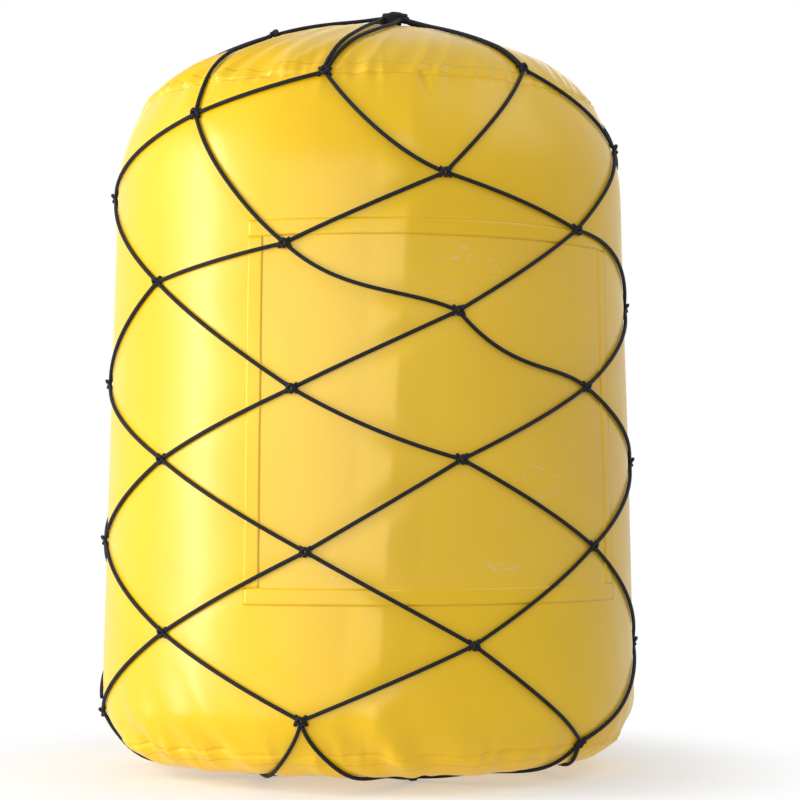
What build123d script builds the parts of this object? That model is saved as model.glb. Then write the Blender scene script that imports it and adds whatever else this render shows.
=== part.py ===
from build123d import *
import os
from math import acos, asin, atan2, ceil, cos, degrees, hypot, radians, sin, tan

# Inflatable racing mark: a yellow coated-fabric drum with a domed top, a clear pocket on
# its front and a knotted cord net gathered on the crown and under the base.
# Millimetres and degrees. +Z is up, the floor is z = 0 and the pocket faces -Y.
# Azimuths turn from -Y towards +X. Drops are measured along the skin from the crown.

# Envelope
body_height = 1180.0         # crown above the flat of the base
belly_radius = 427.3         # widest radius, at the foot of the wall
wall_lean = 1.3              # the wall narrows upwards by this angle
crown_slope = 24.5           # slope where the crown's sphere meets the top shoulder
top_shoulder_bend = 173.0    # bend radius of the top panel's rim
top_seam_slope = 58.0        # slope of the skin at the top seam
neck_bend = 290.0            # bend radius of the wall below the top seam
foot_bend = 103.0            # bend radius of the wall above the bottom seam
bottom_seam_slope = 126.0    # slope of the skin at the bottom seam
base_edge_bend = 112.0       # bend radius of the bottom panel's rim
hollow_radius = 92.0         # flat middle of the hollow under the base
hollow_slope = 30.0          # slope of the hollow's flank
skin = 0.9                   # coated fabric
weld_gap = 0.3               # glue line between two layers
strip = 0.9                  # fabric of the weld bands and the pocket frame
top_band_width = 20.0        # weld band above the top seam
bottom_band_width = 20.0     # weld band below the bottom seam
band_lap = 5.0               # how far each band laps onto the wall
wall_seam_width = 32.0       # upright weld of the wall, opposite the pocket

# Clear pocket
pocket_width = 639.0         # outside, measured round the wall
pocket_height = 562.0        # outside
pocket_margin = 25.0         # welded frame round the window
pocket_foot = 226.0          # pocket above the bottom seam, along the skin
window = 0.5                 # clear film

# Net
cord_diameter = 6.0
cord_clearance = 0.8         # cord above the thickest layer that it crosses
knot_width = 18.0
knot_crest = 1.0             # middle of a knot above the cord round it
knot_gap = 0.3               # end of a strand before its knot
half_columns = 10            # knots stand in every other column of each row
net_front = -16.0            # azimuth where the columns are closest together
sag_azimuth = -10.0          # azimuth where the rows hang lowest
base_turn = 1.4              # strands leave the last wall row steeply, then turn under the base
run_length = 36.0            # longest straight run of a strand round a bend of the skin
# Columns: share of the run from crown to base, sag at the front, crowding at the front, twist
net_rows = [
    (0.181, 140.0, 0.31, 0.0),
    (0.251, 183.0, 0.23, -0.5),
    (0.362, 141.0, 0.08, -3.0),
    (0.453, 77.0, 0.05, -1.2),
    (0.560, 30.0, 0.07, -1.0),
    (0.642, 3.0, 0.09, 0.0),
    (0.724, 13.0, 0.10, 1.5),
    (0.807, 21.0, 0.08, 2.0),
    (0.890, 0.0, 0.12, 0.5),
    (1.070, 0.0, 0.10, 0.0),
]
# Knots pulled out of their row: row and column, then turn round the body and added drop
pulled_knots = {
    (0, 0): (24.0, -72.0),
    (1, 5): (0.0, 75.0),
    (3, 5): (0.0, 35.0),
    (7, 5): (0.0, 38.0),
    (8, 0): (0.0, 18.0),
    (8, 4): (0.0, 53.0),
}
# Slack strands, which leave their knot to the right: row, column and sag at the middle
loose_strands = {(0, 2): 15.0, (1, 1): 15.0, (2, 2): 12.0, (3, 3): 12.0, (4, 2): 8.0}

# Gathers of the net and the mooring eye
gather_radius = 117.0        # the crown gather lies off the axis, towards the front
gather_azimuth = 2.0
lashing_radius = 20.0
lashing_turns = 3
lashing_groove = 2.0         # depth of the groove between two turns
leg_spread = 7.0             # between the two legs of a knot, where they meet the lashing
eye_columns = (7, 9)         # the eye lies between the legs of these two columns
eye_reach = 58.0             # eye centre from the axis
eye_bore = 26.0              # diameter
eye_wall = 3.0               # thimble between its bore and its groove
eye_flange = 1.5             # thimble above and below the cord in its groove
becket_spread = 6.6          # distance between the becket's legs at the lashing
seat = 0.3                   # running clearance of a cord on what it lies against

# Inflation valve, on the rear of the crown
valve_radius = 150.0
valve_azimuth = 140.0
flange_radius = 38.0
flange_thickness = 1.2
collar_radius = 24.0
collar_thickness = 3.0
neck_radius = 15.0
neck_height = 18.0
inlet_bore = 20.0            # diameter
inlet_depth = 12.0
cap_wall = 2.4
cap_top = 3.0
cap_clearance = 0.8          # cap skirt round the neck
skirt_depth = 6.0
cap_grips = 12
grip_radius = 1.2
hinge_reach = 31.0           # pin from the valve's axis
hinge_height = 11.0
pin_radius = 1.5
pin_clearance = 0.2
barrel_wall = 1.6
strap_width = 8.0
lug_thickness = 3.0
lug_gap = 0.6                # strap to lug
tab_length = 7.0
tab_width = 10.0

# Worked out from the sizes above
cord_radius = cord_diameter / 2
knot_radius = knot_width / 2
cord_lift = weld_gap + strip + cord_clearance
base_height = cord_diameter + cord_lift
crown_height = base_height + body_height
lashing_height = lashing_turns * cord_diameter
hollow_rise = lashing_height
wall_slope = 90.0 - wall_lean


def rise_of(bend, start_slope, end_slope):
    return bend * (cos(radians(start_slope)) - cos(radians(end_slope)))


def reach_of(bend, start_slope, end_slope):
    return bend * (sin(radians(end_slope)) - sin(radians(start_slope)))


# The crown's sphere and the wall's length follow from the height and the belly
bends_reach = reach_of(top_shoulder_bend, crown_slope, top_seam_slope)
bends_reach += reach_of(neck_bend, top_seam_slope, wall_slope)
bends_rise = rise_of(top_shoulder_bend, crown_slope, top_seam_slope)
bends_rise += rise_of(neck_bend, top_seam_slope, wall_slope)
bends_rise += rise_of(foot_bend, wall_slope, bottom_seam_slope)
bends_rise += rise_of(base_edge_bend, bottom_seam_slope, 180.0)
crown_rise_rate = tan(radians(crown_slope / 2))
wall_length = body_height - bends_rise - (belly_radius - bends_reach) * crown_rise_rate
wall_length /= cos(radians(wall_lean)) - sin(radians(wall_lean)) * crown_rise_rate
wall_top_radius = belly_radius - wall_length * sin(radians(wall_lean))
crown_bend = (wall_top_radius - bends_reach) / sin(radians(crown_slope))
hollow_bend = hollow_rise / 2 / (1 - cos(radians(hollow_slope)))
base_flat_radius = belly_radius + reach_of(foot_bend, wall_slope, bottom_seam_slope)
base_flat_radius += reach_of(base_edge_bend, bottom_seam_slope, 180.0)
hollow_run = 2 * hollow_bend * sin(radians(hollow_slope))
base_flat_length = base_flat_radius - hollow_radius - hollow_run

# The skin's profile from crown to base centre. Columns: name, bend radius (0 is straight,
# negative is hollow), slope at its end, length if straight
profile = [
    ("crown", crown_bend, crown_slope, 0.0),
    ("top_shoulder", top_shoulder_bend, top_seam_slope, 0.0),
    ("neck", neck_bend, wall_slope, 0.0),
    ("wall", 0.0, wall_slope, wall_length),
    ("foot", foot_bend, bottom_seam_slope, 0.0),
    ("base_edge", base_edge_bend, 180.0, 0.0),
    ("base_flat", 0.0, 180.0, base_flat_length),
    ("hollow_start", hollow_bend, 180.0 + hollow_slope, 0.0),
    ("hollow_end", -hollow_bend, 180.0, 0.0),
    ("hollow_flat", 0.0, 180.0, hollow_radius),
]


class Stretch:
    """One arc or straight of the skin's profile."""

    def __init__(self, bend, start_drop, length, radius, height, slope):
        self.bend = bend
        self.start_drop = start_drop
        self.end_drop = start_drop + length
        self.radius = radius
        self.height = height
        self.slope = slope

    def at(self, drop):
        """Radius, height and slope of the skin at a drop."""
        along = drop - self.start_drop
        if not self.bend:
            radius = self.radius + along * cos(radians(self.slope))
            return radius, self.height - along * sin(radians(self.slope)), self.slope
        slope = self.slope + degrees(along / self.bend)
        radius = self.radius + reach_of(self.bend, self.slope, slope)
        return radius, self.height - rise_of(self.bend, self.slope, slope), slope


def walk_profile():
    stretches = {}
    drop, radius, height, slope = 0.0, 0.0, crown_height, 0.0
    for name, bend, end_slope, straight in profile:
        length = bend * radians(end_slope - slope) if bend else straight
        stretch = Stretch(bend, drop, length, radius, height, slope)
        stretches[name] = stretch
        drop = stretch.end_drop
        radius, height, slope = stretch.at(drop)
    return stretches


stretches = walk_profile()
top_seam = stretches["neck"].start_drop
bottom_seam = stretches["base_edge"].start_drop
base_start = stretches["base_flat"].start_drop
base_centre = stretches["hollow_flat"].end_drop


def station(drop):
    for stretch in stretches.values():
        if drop <= stretch.end_drop:
            return stretch.at(drop)
    return stretch.at(base_centre)


def drop_at_radius(radius):
    """Drop of the point of the top, above the top seam, that has this radius."""
    stretch = stretches["crown"]
    if radius > stretches["top_shoulder"].radius:
        stretch = stretches["top_shoulder"]
    reach = (radius - stretch.radius) / stretch.bend + sin(radians(stretch.slope))
    return stretch.start_drop + stretch.bend * radians(degrees(asin(reach)) - stretch.slope)


def outward(azimuth):
    return Vector(sin(radians(azimuth)), -cos(radians(azimuth)), 0)


def normal_at(azimuth, drop):
    slope = radians(station(drop)[2])
    return outward(azimuth) * sin(slope) + Vector(0, 0, cos(slope))


def on_skin(azimuth, drop, lift):
    radius, height, _ = station(drop)
    return outward(azimuth) * radius + Vector(0, 0, height) + normal_at(azimuth, drop) * lift


def section_point(drop, lift):
    radius, height, slope = station(drop)
    return Vector(radius + lift * sin(radians(slope)), 0, height + lift * cos(radians(slope)))


def section_edges(start, end, lift):
    edges = []
    for stretch in stretches.values():
        first = max(start, stretch.start_drop)
        last = min(end, stretch.end_drop)
        if last - first < 0.001:
            continue
        ends = section_point(first, lift), section_point(last, lift)
        if stretch.bend:
            edges.append(ThreePointArc(ends[0], section_point((first + last) / 2, lift), ends[1]))
        else:
            edges.append(Line(*ends))
    return edges


def layer(start, end, inner, outer):
    """Section of a layer of the envelope between two drops and two lifts."""
    edges = section_edges(start, end, outer) + section_edges(start, end, inner)
    for drop in (start, end):
        edges.append(Line(section_point(drop, inner), section_point(drop, outer)))
    return make_face(edges)


def ring(section):
    return revolve(section, Axis.Z)


def arc_of_ring(section, start_azimuth, end_azimuth):
    turned = Rot(Z=start_azimuth - 90) * section
    return revolve(turned, Axis.Z, end_azimuth - start_azimuth)


def write(name, *solids):
    export_step(Compound(children=list(solids)) if len(solids) > 1 else solids[0], f"parts/{name}.step")


def make_envelope():
    half_gap = weld_gap / 2
    write("top_panel", ring(layer(0, top_seam - half_gap, -skin, 0)))
    write("wall_panel", ring(layer(top_seam + half_gap, bottom_seam - half_gap, -skin, 0)))
    write("bottom_panel", ring(layer(bottom_seam + half_gap, base_centre, -skin, 0)))
    outer = weld_gap + strip
    band_top = top_seam + band_lap
    band_bottom = bottom_seam - band_lap
    write("top_weld_band", ring(layer(top_seam - top_band_width, band_top, weld_gap, outer)))
    write("bottom_weld_band", ring(layer(band_bottom, bottom_seam + bottom_band_width, weld_gap, outer)))
    half_angle = degrees(wall_seam_width / 2 / belly_radius)
    upright = layer(band_top + weld_gap, band_bottom - weld_gap, weld_gap, outer)
    write("wall_seam_strip", arc_of_ring(upright, 180 - half_angle, 180 + half_angle))


def make_pocket():
    low = bottom_seam - pocket_foot
    high = low - pocket_height
    radius = station((low + high) / 2)[0]
    side = degrees(pocket_width / 2 / radius)
    margin = degrees(pocket_margin / radius)
    gap = degrees(weld_gap / radius)
    outer = weld_gap + strip
    # Columns: piece, highest and lowest drop, first and last azimuth, outer lift
    pieces = [
        ("pocket_frame_top", high, high + pocket_margin, -side, side, outer),
        ("pocket_frame_bottom", low - pocket_margin, low, -side, side, outer),
        ("pocket_frame_left", high + pocket_margin, low - pocket_margin, -side, margin - side, outer),
        ("pocket_frame_right", high + pocket_margin, low - pocket_margin, side - margin, side, outer),
        ("pocket_window", high + pocket_margin, low - pocket_margin, margin - side + gap,
         side - margin - gap, weld_gap + window),
    ]
    for name, first, last, left, right, lift in pieces:
        between = 0 if name in ("pocket_frame_top", "pocket_frame_bottom") else weld_gap
        write(name, arc_of_ring(layer(first + between, last - between, weld_gap, lift), left, right))


def knot_place(row, column):
    share, sag, crowding, twist = net_rows[row]
    from_front = (column - 2.5) * 360 / half_columns
    azimuth = net_front + twist + from_front - degrees(crowding) * sin(radians(from_front))
    hang = max(cos(radians(azimuth - sag_azimuth)), 0) ** 2
    turn, added_drop = pulled_knots.get((row, column), (0.0, 0.0))
    return azimuth + turn, share * base_start + sag * hang + added_drop


def tube(path):
    """A cord along a path of lines and tangent arcs."""
    start = Plane(origin=path @ 0, z_dir=path % 0)
    return sweep(start * Circle(cord_radius), path=path)


def round_path(points):
    """Straight runs joined by arcs as large as the runs allow."""
    kept = [points[0]]
    for point, after in zip(points[1:], points[2:]):
        if (point - kept[-1]).get_angle(after - point) > 0.2:
            kept.append(point)
    kept.append(points[-1])
    if len(kept) == 2:
        return Line(*kept)
    radii = []
    for before, point, after in zip(kept, kept[1:], kept[2:]):
        turn = radians((point - before).get_angle(after - point))
        run = min((point - before).length, (after - point).length)
        radii.append(0.45 * run / tan(turn / 2))
    return FilletPolyline(*kept, radius=radii)


def wrapped_cord(places):
    """A cord that lies over bends of the skin, through places of azimuth and drop."""
    lift = cord_lift + cord_radius
    points = [on_skin(azimuth, drop, lift) for azimuth, drop in places]
    # Each corner stands off far enough for the straight runs beside it to clear the skin
    rises = []
    for (first, first_drop), (second, second_drop), here, after in zip(places, places[1:], points, points[1:]):
        middle = (first + second) / 2, (first_drop + second_drop) / 2
        rises.append((on_skin(*middle, lift) - (here + after) / 2).dot(normal_at(*middle)))
    for index in range(1, len(points) - 1):
        azimuth, drop = places[index]
        raised = on_skin(azimuth, drop, lift + max(rises[index - 1:index + 1]))
        # Under the base a cord lies on the floor
        points[index] = Vector(raised.X, raised.Y, max(raised.Z, cord_radius))
    return tube(round_path(points))


def part_at_rim(place, end):
    """Part of a strand, from end 0 or 1, where it meets the rim of the knot there."""
    lift = cord_lift + cord_radius
    knot = on_skin(*place(end), lift)
    inside, outside = end, 0.5
    for _ in range(30):
        middle = (inside + outside) / 2
        if (on_skin(*place(middle), lift) - knot).length < knot_radius + knot_gap:
            inside = middle
        else:
            outside = middle
    return outside


def strand(row, column, step):
    """A cord from a knot to the knot of the next row, half a mesh to one side."""
    azimuth, drop = knot_place(row, column)
    next_azimuth, next_drop = knot_place(row + 1, column + step)
    slack = loose_strands.get((row, column), 0) if step > 0 else 0
    turn = base_turn if row + 1 == len(net_rows) - 1 else 1.0
    lift = cord_lift + cord_radius

    def place(part):
        sideways = azimuth + (next_azimuth - azimuth) * part ** turn
        return sideways, drop + (next_drop - drop) * part + slack * 4 * part * (1 - part)

    span = (on_skin(*place(0), lift) - on_skin(*place(0.5), lift)).length
    span += (on_skin(*place(0.5), lift) - on_skin(*place(1), lift)).length
    first, last = part_at_rim(place, 0), part_at_rim(place, 1)
    ends = [place(first), place(last)]
    wall = stretches["wall"]
    if min(end[1] for end in ends) > wall.start_drop and max(end[1] for end in ends) < wall.end_drop:
        return wall_cord(on_skin(*ends[0], lift), on_skin(*place(0.5), lift), on_skin(*ends[1], lift))
    count = max(3, ceil(span / run_length))
    return wrapped_cord([place(first + (last - first) * i / count) for i in range(count + 1)])


def wall_cord(start, middle, end):
    """A cord on the wall is one arc through its ends and its middle."""
    path = ThreePointArc(start, middle, end)
    axis = Axis(path.arc_center, (start - path.arc_center).cross(middle - path.arc_center))
    section = Plane(origin=start, z_dir=path % 0) * Circle(cord_radius)
    sweep_angle = degrees(path.length / path.radius)
    return revolve(section, axis, sweep_angle)


def cap_arc(radius, low, rise):
    """Arc of a spherical cap from its rim to its top on the axis."""
    bend = (radius ** 2 + rise ** 2) / (2 * rise)
    half = asin(radius / bend) / 2
    middle = (bend * sin(half), 0, low + rise - bend * (1 - cos(half)))
    return ThreePointArc((radius, 0, low), middle, (0, 0, low + rise))


def knot_button(crest_height):
    """A knot seen from outside: a turn of the cord round a raised middle."""
    turn = knot_radius - cord_radius
    dip = cord_radius * cos(radians(45))
    rim = ThreePointArc((turn - dip, 0, dip), (turn, 0, cord_radius), (knot_radius, 0, 0))
    under = ThreePointArc((knot_radius, 0, 0), (turn + dip, 0, -dip), (turn, 0, -cord_radius))
    crest = cap_arc(turn - dip, dip, cord_radius + crest_height - dip)
    floor = Line((turn, 0, -cord_radius), (0, 0, -cord_radius))
    core = Line((0, 0, -cord_radius), crest @ 1)
    return revolve(make_face([crest, rim, under, floor, core]), Axis.Z)


def on_plane(point):
    return degrees(atan2(point.X, -point.Y)), hypot(point.X, point.Y)


def lashing_reach(offset):
    """Distance from a lashing's axis to the end of a cord that meets its side off centre."""
    nearest = max(offset - cord_radius, 0)
    return (lashing_radius ** 2 - nearest ** 2) ** 0.5 + knot_gap


def leg_ends(knot, gather, side):
    """Both ends of a leg in plan: its knot's rim and the side of its lashing."""
    toward = Vector(gather.X - knot.X, gather.Y - knot.Y, 0).normalized()
    across = Vector(-toward.Y, toward.X, 0) * side
    start = Vector(knot.X, knot.Y, 0) + toward * (knot_radius + knot_gap)
    start += across * (cord_diameter + knot_gap) / 2
    back = lashing_reach(leg_spread / 2)
    return start, Vector(gather.X, gather.Y, 0) - toward * back + across * leg_spread / 2


def top_leg(column, side):
    knot = on_skin(*knot_place(0, column), 0)
    gather = outward(gather_azimuth) * gather_radius
    start, end = leg_ends(knot, gather, side)
    count = ceil((end - start).length / run_length)
    places = []
    for i in range(count + 1):
        azimuth, radius = on_plane(start + (end - start) * (i / count))
        places.append((azimuth, drop_at_radius(radius)))
    return wrapped_cord(places)


def bottom_leg(column, side):
    knot = on_skin(*knot_place(len(net_rows) - 1, column), 0)
    start, end = leg_ends(knot, Vector(0, 0, 0), side)
    up = Vector(0, 0, cord_radius)
    return tube(Line(start + up, end + up))


def make_net():
    last = len(net_rows) - 1
    for row in range(last + 1):
        # The knots under the base are pressed flat on the floor
        button = knot_button(knot_crest if row < last else 0)
        knots = []
        strands = []
        for column in range(row % 2, half_columns, 2):
            azimuth, drop = knot_place(row, column)
            lifted = on_skin(azimuth, drop, cord_lift + cord_radius)
            knots.append(Plane(origin=lifted, z_dir=normal_at(azimuth, drop)) * button)
            if row < last:
                strands += [strand(row, column, step) for step in (-1, 1)]
        write(f"net_knots_{row}", *knots)
        if row < last:
            write(f"net_strands_{row}", *strands)
    write("net_top_legs", *[top_leg(column, side) for column in range(0, half_columns, 2) for side in (-1, 1)])
    odd_columns = range(last % 2, half_columns, 2)
    write("net_bottom_legs", *[bottom_leg(column, side) for column in odd_columns for side in (-1, 1)])


def lashing():
    """Turns of cord drawn tight round the ends of the legs."""
    core = lashing_radius - lashing_groove
    edges = [Line((0, 0, 0), (core, 0, 0))]
    for turn in range(lashing_turns):
        low = turn * cord_diameter
        edges.append(ThreePointArc((core, 0, low), (lashing_radius, 0, low + cord_radius),
                                   (core, 0, low + cord_diameter)))
    dome = cap_arc(core, lashing_height, cord_radius)
    edges += [dome, Line(dome @ 1, (0, 0, 0))]
    return revolve(make_face(edges), Axis.Z)


def make_gathers():
    drop = drop_at_radius(gather_radius)
    top = Plane(origin=on_skin(gather_azimuth, drop, cord_lift), z_dir=normal_at(gather_azimuth, drop))
    write("top_lashing", top * lashing())
    write("bottom_lashing", lashing())


def make_mooring_eye():
    last = len(net_rows) - 1
    eye_azimuth = sum(knot_place(last, column)[0] for column in eye_columns) / 2
    turned = Rot(Z=eye_azimuth - 90)
    bore_radius = eye_bore / 2
    groove = bore_radius + eye_wall
    cord_ring = groove + seat + cord_radius
    rim = groove + cord_radius
    height = cord_diameter + 2 * (seat + eye_flange)
    middle = height / 2
    mouth = cord_radius + seat
    section = [
        Line((bore_radius, 0, 0), (bore_radius, 0, height)),
        Line((bore_radius, 0, height), (rim, 0, height)),
        Line((rim, 0, height), (rim, 0, middle + mouth)),
        ThreePointArc((rim, 0, middle + mouth), (groove, 0, middle), (rim, 0, middle - mouth)),
        Line((rim, 0, middle - mouth), (rim, 0, 0)),
        Line((rim, 0, 0), (bore_radius, 0, 0)),
    ]
    thimble = revolve(make_face(section), Axis.Z)
    write("mooring_thimble", turned * Pos(eye_reach, 0, 0) * thimble)
    # The becket runs from the lashing round the groove and back
    side = becket_spread / 2
    from_axis = lashing_reach(side)
    bearing = degrees(atan2(side, from_axis - eye_reach))
    touch = bearing - degrees(acos(cord_ring / hypot(side, from_axis - eye_reach)))
    arc = CenterArc((eye_reach, 0, middle), cord_ring, touch, -2 * touch)
    path = Wire([
        Line((from_axis, side, middle), arc @ 0),
        arc,
        Line(arc @ 1, (from_axis, -side, middle)),
    ])
    write("mooring_becket", turned * tube(path))


def on_crown(lift, offset):
    """Local height of a sphere parallel to the crown at an offset from the valve's axis."""
    return ((crown_bend + lift) ** 2 - offset ** 2) ** 0.5 - crown_bend


def valve_flange(body_radius):
    top = weld_gap + flange_thickness
    hole = body_radius + seat
    middle = (hole + flange_radius) / 2
    section = []
    for lift in (weld_gap, top):
        ends = [(hole, 0, on_crown(lift, hole)), (flange_radius, 0, on_crown(lift, flange_radius))]
        section.append(ThreePointArc(ends[0], (middle, 0, on_crown(lift, middle)), ends[1]))
    for offset in (hole, flange_radius):
        section.append(Line((offset, 0, on_crown(weld_gap, offset)), (offset, 0, on_crown(top, offset))))
    return revolve(make_face(section), Axis.Z)


def side_plate(outline, first, last):
    """A plate of an outline in XZ between two places across the hinge."""
    return Pos(0, last, 0) * extrude(Plane.XZ * make_face(Polyline(*outline, close=True)), last - first)


def across_rod(radius, first, last):
    """A rod on the hinge's axis."""
    rod = Rot(X=90) * Cylinder(radius, last - first)
    return Pos(hinge_reach, (first + last) / 2, hinge_height) * rod


def valve_body(body_radius, collar_base):
    collar_top = collar_base + collar_thickness
    inlet = inlet_bore / 2
    inlet_floor = neck_height - inlet_depth
    outline = [
        (0, weld_gap), (body_radius, weld_gap), (body_radius, collar_base), (collar_radius, collar_base),
        (collar_radius, collar_top), (neck_radius, collar_top), (neck_radius, neck_height),
        (inlet, neck_height), (inlet, inlet_floor), (0, inlet_floor),
    ]
    body = revolve(Plane.XZ * make_face(Polyline(*outline, close=True)), Axis.Z)
    lug_radius = pin_radius + pin_clearance + barrel_wall
    inside = strap_width / 2 + lug_gap
    outside = inside + lug_thickness
    root = collar_radius - 2 * lug_thickness
    lug = [(root, collar_base), (hinge_reach, collar_base), (hinge_reach + lug_radius, hinge_height),
           (hinge_reach - lug_radius, hinge_height), (root, collar_top)]
    for first, last in ((inside, outside), (-outside, -inside)):
        body += side_plate(lug, first, last)
        body += across_rod(lug_radius, first, last)
    return body + across_rod(pin_radius, -outside, outside)


def valve_cap():
    inner = neck_radius + cap_clearance
    outer = inner + cap_wall
    under = neck_height + cap_clearance
    top = under + cap_top
    skirt = under - skirt_depth
    outline = [(0, under), (inner, under), (inner, skirt), (outer, skirt), (outer, top), (0, top)]
    cap = revolve(Plane.XZ * make_face(Polyline(*outline, close=True)), Axis.Z)
    for grip in PolarLocations(outer + grip_radius / 2, cap_grips, start_angle=180 / cap_grips):
        cap -= grip * Pos(0, 0, (skirt + top) / 2) * Cylinder(grip_radius, 2 * (top - skirt))
    half = strap_width / 2
    barrel = pin_radius + pin_clearance + barrel_wall
    strap = [(inner, under), (inner, top), (outer, top), (hinge_reach + barrel, hinge_height),
             (hinge_reach - barrel, hinge_height), (outer, under)]
    cap += side_plate(strap, -half, half)
    cap += across_rod(barrel, -half, half)
    cap -= across_rod(pin_radius + pin_clearance, -strap_width, strap_width)
    tab = Box(tab_length + cap_wall, tab_width, cap_top)
    return cap + Pos(-outer - (tab_length - cap_wall) / 2, 0, under + cap_top / 2) * tab


def make_valve():
    drop = drop_at_radius(valve_radius)
    down_slope = outward(valve_azimuth).cross(Vector(0, 0, 1)).cross(normal_at(valve_azimuth, drop))
    place = Plane(origin=on_skin(valve_azimuth, drop, 0), x_dir=-down_slope,
                  z_dir=normal_at(valve_azimuth, drop))
    body_radius = neck_radius + collar_thickness / 2
    collar_base = weld_gap + flange_thickness + weld_gap
    write("valve_flange", place * valve_flange(body_radius))
    write("valve_body", place * valve_body(body_radius, collar_base))
    write("valve_cap", place * valve_cap())


os.makedirs("parts", exist_ok=True)
make_envelope()
make_pocket()
make_net()
make_gathers()
make_mooring_eye()
make_valve()
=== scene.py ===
import math
import bpy
import bmesh
from mathutils import Matrix, Vector, noise
from mathutils.kdtree import KDTree


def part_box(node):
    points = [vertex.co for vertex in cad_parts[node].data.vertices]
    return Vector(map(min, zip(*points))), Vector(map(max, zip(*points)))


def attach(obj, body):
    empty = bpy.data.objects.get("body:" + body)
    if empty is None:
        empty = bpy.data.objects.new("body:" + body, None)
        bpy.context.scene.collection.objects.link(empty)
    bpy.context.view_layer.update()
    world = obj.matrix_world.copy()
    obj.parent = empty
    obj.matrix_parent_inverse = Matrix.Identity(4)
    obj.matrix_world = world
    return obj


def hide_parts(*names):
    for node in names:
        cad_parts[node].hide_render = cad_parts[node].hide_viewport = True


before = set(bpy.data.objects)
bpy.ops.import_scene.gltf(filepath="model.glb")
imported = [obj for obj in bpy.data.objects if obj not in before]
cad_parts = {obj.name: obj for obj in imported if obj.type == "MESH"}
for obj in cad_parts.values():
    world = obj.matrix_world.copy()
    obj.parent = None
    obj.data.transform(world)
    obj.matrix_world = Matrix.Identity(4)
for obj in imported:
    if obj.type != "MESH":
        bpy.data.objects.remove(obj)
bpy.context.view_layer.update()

# Metres and degrees. Azimuths turn from -Y (the pocket) towards +X, drops run along the skin from the crown.
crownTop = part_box("top_panel")[1][2]
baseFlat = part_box("bottom_panel")[0][2]
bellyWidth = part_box("wall_panel")[1][0]

skinForm = {
    "crownBend": 0.700, "crownSlope": 24.5,        # sphere of the crown and where it ends
    "rimBend": 0.173, "topSeamSlope": 58.0,        # rim of the top panel
    "neckBend": 0.290, "wallSlope": 88.7,          # wall below the top seam
    "footBend": 0.103, "bottomSeamSlope": 126.0,   # wall above the bottom seam
    "edgeBend": 0.112,                             # rim of the bottom panel
    "hollowRise": 0.018, "hollowSlope": 30.0, "hollowRadius": 0.092,
    "layer": 0.0009,                               # a welded strip above the skin
}


def sinDeg(angle):
    return math.sin(math.radians(angle))


def cosDeg(angle):
    return math.cos(math.radians(angle))


def walkSkin(form):
    # each stretch: start drop, length, bend (0 is straight), radius, height, slope
    hollowBend = form["hollowRise"] / 2 / (1 - cosDeg(form["hollowSlope"]))
    topArcs = [
        (form["crownBend"], form["crownSlope"]),
        (form["rimBend"], form["topSeamSlope"]),
        (form["neckBend"], form["wallSlope"]),
    ]
    lowArcs = [(form["footBend"], form["bottomSeamSlope"]), (form["edgeBend"], 180.0)]
    topRise, slope = 0.0, 0.0
    for bend, endSlope in topArcs:
        topRise += bend * (cosDeg(slope) - cosDeg(endSlope))
        slope = endSlope
    lowRise = 0.0
    for bend, endSlope in lowArcs:
        lowRise += bend * (cosDeg(slope) - cosDeg(endSlope))
        slope = endSlope
    wallLength = (crownTop - baseFlat - topRise - lowRise) / sinDeg(form["wallSlope"])
    flatStart = bellyWidth + sum(
        bend * (sinDeg(end) - sinDeg(start)) for bend, start, end in (
            (form["footBend"], form["wallSlope"], form["bottomSeamSlope"]),
            (form["edgeBend"], form["bottomSeamSlope"], 180.0)))
    flatLength = flatStart - form["hollowRadius"] - 2 * hollowBend * sinDeg(form["hollowSlope"])
    steps = topArcs + [(0.0, wallLength)] + lowArcs + [
        (0.0, flatLength), (hollowBend, 180.0 + form["hollowSlope"]), (-hollowBend, 180.0),
        (0.0, form["hollowRadius"])]
    stretches = []
    drop, radius, height, slope = 0.0, 0.0, crownTop, 0.0
    for bend, value in steps:
        length = bend * math.radians(value - slope) if bend else value
        stretches.append((drop, length, bend, radius, height, slope))
        radius, height, slope = alongStretch(stretches[-1], drop + length)
        drop += length
    return stretches


def alongStretch(stretch, drop):
    start, length, bend, radius, height, slope = stretch
    along = drop - start
    if not bend:
        return radius + along * cosDeg(slope), height - along * sinDeg(slope), slope
    newSlope = slope + math.degrees(along / bend)
    return (radius + bend * (sinDeg(newSlope) - sinDeg(slope)),
            height - bend * (cosDeg(slope) - cosDeg(newSlope)), newSlope)


skinStretches = walkSkin(skinForm)
topSeam = skinStretches[2][0]
bottomSeam = skinStretches[5][0]
baseStart = skinStretches[6][0]
baseEnd = skinStretches[9][0] + skinStretches[9][1]


def skinStation(drop):
    for stretch in skinStretches:
        if drop <= stretch[0] + stretch[1]:
            return alongStretch(stretch, drop)
    return alongStretch(skinStretches[-1], baseEnd)


def dropAtRadius(radius):
    stretch = skinStretches[0] if radius <= skinStretches[1][3] else skinStretches[1]
    start, length, bend, startRadius, height, slope = stretch
    reach = min((radius - startRadius) / bend + sinDeg(slope), 1.0)
    return start + bend * (math.asin(reach) - math.radians(slope))


def outward(azimuth):
    return Vector((sinDeg(azimuth), -cosDeg(azimuth), 0))


def skinNormal(azimuth, drop):
    slope = skinStation(drop)[2]
    return outward(azimuth) * sinDeg(slope) + Vector((0, 0, cosDeg(slope)))


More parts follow.
